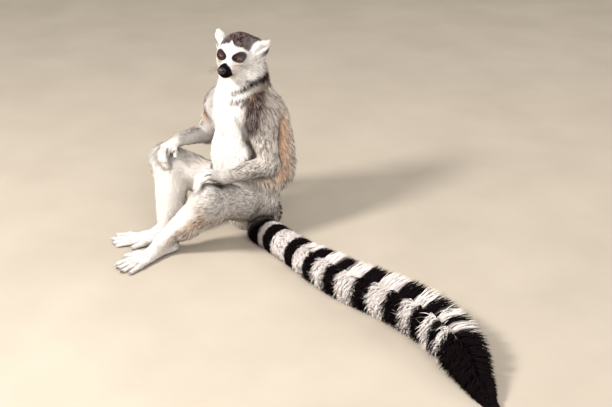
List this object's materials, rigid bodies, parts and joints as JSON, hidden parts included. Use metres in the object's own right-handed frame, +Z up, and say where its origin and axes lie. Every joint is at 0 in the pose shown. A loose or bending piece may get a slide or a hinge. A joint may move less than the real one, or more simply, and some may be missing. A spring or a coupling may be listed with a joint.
{
  "type": "ring-tailed lemur",
  "caption": "Ring-tailed lemur sitting upright, knees drawn up, one hand on a knee and the other on a thigh, head turned to its left, ringed tail laid along the ground.",
  "frame": {"origin": "the middle of the seat, on the ground", "axes": "the animal faces -Y, its left is +X, up is +Z; the tail is laid out along +X"},
  "size_m": [0.7187, 0.3348, 0.3427],
  "materials": {
    "grey_coat": "dense ticked grey-brown fur",
    "white_coat": "dense short white fur",
    "dark_coat": "long dark fur",
    "nose_leather": "moist bare skin",
    "eye": "wet and clear"
  },
  "bodies": {
    "root": {"head": "white_coat", "nose": "nose_leather", "eye_left": "eye", "eye_right": "eye", "ear_left": "white_coat", "ear_right": "white_coat", "neck": "white_coat", "chest": "grey_coat", "rump": "grey_coat", "upper_arm_left": "grey_coat", "upper_arm_right": "grey_coat", "forearm_left": "grey_coat", "forearm_right": "grey_coat", "hand_left": "white_coat", "hand_right": "white_coat", "thigh_left": "grey_coat", "thigh_right": "grey_coat", "shank_left": "grey_coat", "shank_right": "grey_coat", "foot_left": "white_coat", "foot_right": "white_coat", "tail_base": "dark_coat", "tail_middle": "dark_coat", "tail_far": "dark_coat", "tail_tip": "dark_coat"}
  },
  "joints": []
}
